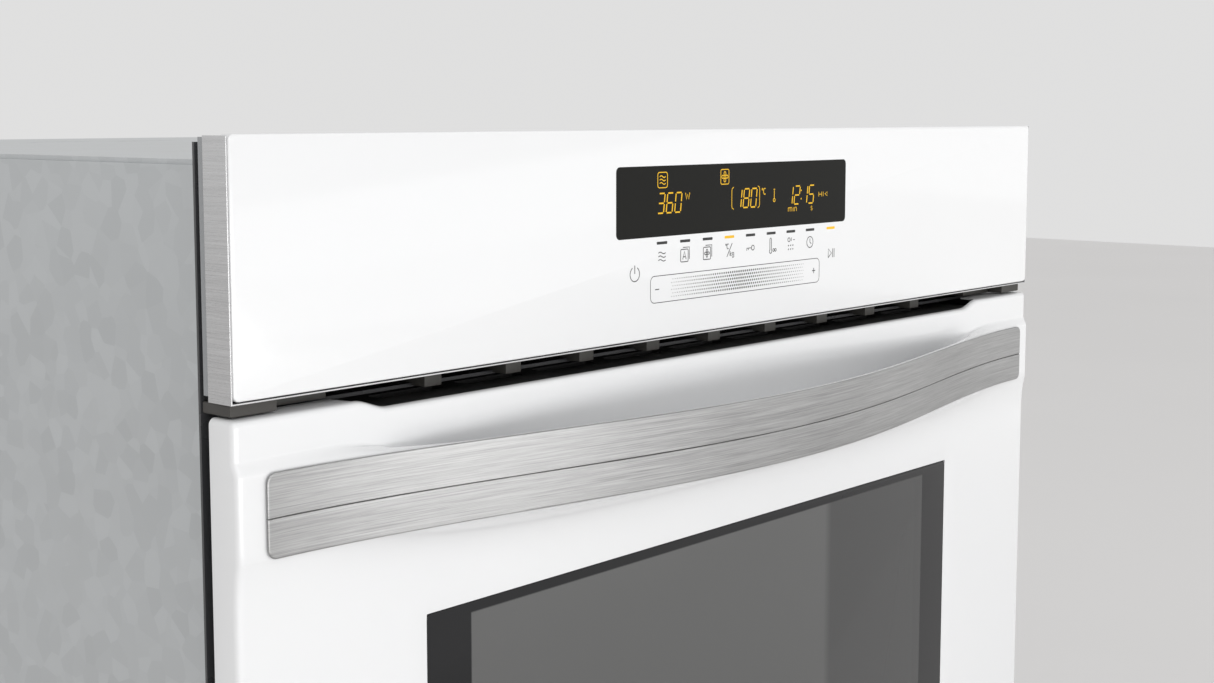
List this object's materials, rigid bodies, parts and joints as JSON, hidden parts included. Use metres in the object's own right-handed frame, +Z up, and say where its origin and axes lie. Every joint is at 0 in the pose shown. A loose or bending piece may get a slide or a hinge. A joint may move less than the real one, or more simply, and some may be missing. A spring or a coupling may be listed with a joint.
{
  "type": "wall oven",
  "caption": "Built-in wall oven with a touch control panel, a drop-down glazed door whose front bows out into a brushed grip, and a heated cavity with a shelf and a tray.",
  "frame": {"origin": "centre of the bounding box's bottom face, on the niche floor under the oven", "axes": "+Z up, +X to the right seen from the front, the front faces -Y"},
  "size_m": [0.595, 0.612, 0.595],
  "materials": {
    "white_enamel": "gloss white enamel",
    "white_glass": "white back-printed glass",
    "brushed_steel": "fine horizontal brushing",
    "aluminium_trim": "satin",
    "zinc_sheet": "zinc-coated sheet, dull",
    "dark_enamel": "black enamel",
    "cavity_enamel": "dark grey speckled enamel",
    "dark_plastic": "fine matte",
    "black_plastic": "matte",
    "grey_plastic": "matte",
    "tinted_glass": "dark printed glass",
    "clear_glass": "clear heat-resisting glass",
    "chrome_wire": "plated wire",
    "heater_steel": "dark heat-tinted tube",
    "mineral_wool": "fibre blanket",
    "seal_cord": "woven glass-fibre seal",
    "ceramic": "unglazed",
    "board_green": "circuit board",
    "cast_aluminium": "cast"
  },
  "bodies": {
    "housing": {"air_duct": "zinc_sheet", "base_plate": "zinc_sheet", "blower_housing": "zinc_sheet", "blower_motor": "grey_plastic", "bottom_heater": "heater_steel", "cavity_liner": "cavity_enamel", "ceiling_cover": "ceramic", "control_board": "board_green", "control_panel_glass": "white_glass", "display_module": "black_plastic", "door_seal": "seal_cord", "door_switch_left": "black_plastic", "door_switch_right": "black_plastic", "fan_cover": "cavity_enamel", "fan_motor": "zinc_sheet", "front_frame": "dark_enamel", "grill_element": "heater_steel", "hinge_arm_left": "zinc_sheet", "hinge_arm_right": "zinc_sheet", "hinge_receiver_left": "zinc_sheet", "hinge_receiver_right": "zinc_sheet", "insulation_wrap": "mineral_wool", "inverter": "board_green", "lamp_holder": "ceramic", "lamp_lens": "clear_glass", "magnetron": "cast_aluminium", "outlet_cheek_left": "dark_plastic", "outlet_cheek_right": "dark_plastic", "panel_carrier": "grey_plastic", "panel_trim": "aluminium_trim", "rear_cover": "zinc_sheet", "ring_heater": "heater_steel", "side_panel_left": "zinc_sheet", "side_panel_right": "zinc_sheet", "side_rack_left": "chrome_wire", "side_rack_right": "chrome_wire", "stirrer_motor": "grey_plastic", "terminal_block": "black_plastic", "top_cover": "zinc_sheet", "vent_grille": "dark_plastic", "waveguide": "zinc_sheet"},
    "door": {"door_skin": "white_enamel", "door_grip": "white_enamel", "handle_plate": "brushed_steel", "door_outer_glass": "tinted_glass", "door_inner_frame": "dark_enamel", "door_middle_glass": "clear_glass", "door_inner_glass": "tinted_glass", "door_top_cap": "dark_plastic", "hinge_body_left": "zinc_sheet", "hinge_body_right": "zinc_sheet"},
    "shelf": {"wire_shelf": "chrome_wire"},
    "tray": {"baking_tray": "dark_enamel"},
    "cavity_fan": {"convection_fan": "zinc_sheet"},
    "cooling_rotor": {"blower_rotor": "black_plastic"},
    "stirrer": {"mode_stirrer": "cast_aluminium"},
    "pull_rod_left": {"hinge_rod_left": "chrome_wire"},
    "pull_rod_right": {"hinge_rod_right": "chrome_wire"},
    "plunger_left": {"switch_plunger_left": "grey_plastic"},
    "plunger_right": {"switch_plunger_right": "grey_plastic"}
  },
  "joints": [
    {"name": "door_hinge", "type": "hinge", "parent": "housing", "child": "door", "pos_m": [0, -0.251, 0.018], "axis": [1, 0, 0], "range_deg": [0, 90], "stiffness_Nm_per_rad": 9, "springref_deg": -34.38},
    {"name": "shelf_slide", "type": "slide", "parent": "housing", "child": "shelf", "axis": [0, -1, 0], "range_m": [0, 0.25]},
    {"name": "tray_slide", "type": "slide", "parent": "housing", "child": "tray", "axis": [0, -1, 0], "range_m": [0, 0.25]},
    {"name": "fan_spin", "type": "hinge", "parent": "housing", "child": "cavity_fan", "pos_m": [0, 0.168, 0.245], "axis": [0, 1, 0], "continuous": true},
    {"name": "blower_spin", "type": "hinge", "parent": "housing", "child": "cooling_rotor", "pos_m": [0, 0.15, 0.49], "axis": [0, 0, 1], "continuous": true},
    {"name": "stirrer_spin", "type": "hinge", "parent": "housing", "child": "stirrer", "pos_m": [0, 0, 0.424], "axis": [0, 0, 1], "continuous": true},
    {"name": "rod_left_pull", "type": "slide", "parent": "door", "child": "pull_rod_left", "axis": [0, 0, -1], "range_m": [0, 0.018]},
    {"name": "rod_right_pull", "type": "slide", "parent": "door", "child": "pull_rod_right", "axis": [0, 0, -1], "range_m": [0, 0.018]},
    {"name": "plunger_left_press", "type": "slide", "parent": "housing", "child": "plunger_left", "axis": [0, -1, 0], "range_m": [0, 0.004]},
    {"name": "plunger_right_press", "type": "slide", "parent": "housing", "child": "plunger_right", "axis": [0, -1, 0], "range_m": [0, 0.004]}
  ],
  "couplings": [
    {"joint": "shelf_slide", "follows": "door_hinge", "m_per_rad": 0.15915},
    {"joint": "tray_slide", "follows": "door_hinge", "m_per_rad": 0.15915},
    {"joint": "rod_left_pull", "follows": "door_hinge", "m_per_rad": 0.011459},
    {"joint": "rod_right_pull", "follows": "door_hinge", "m_per_rad": 0.011459},
    {"joint": "plunger_left_press", "follows": "door_hinge", "m_per_rad": 0.002546},
    {"joint": "plunger_right_press", "follows": "door_hinge", "m_per_rad": 0.002546}
  ]
}
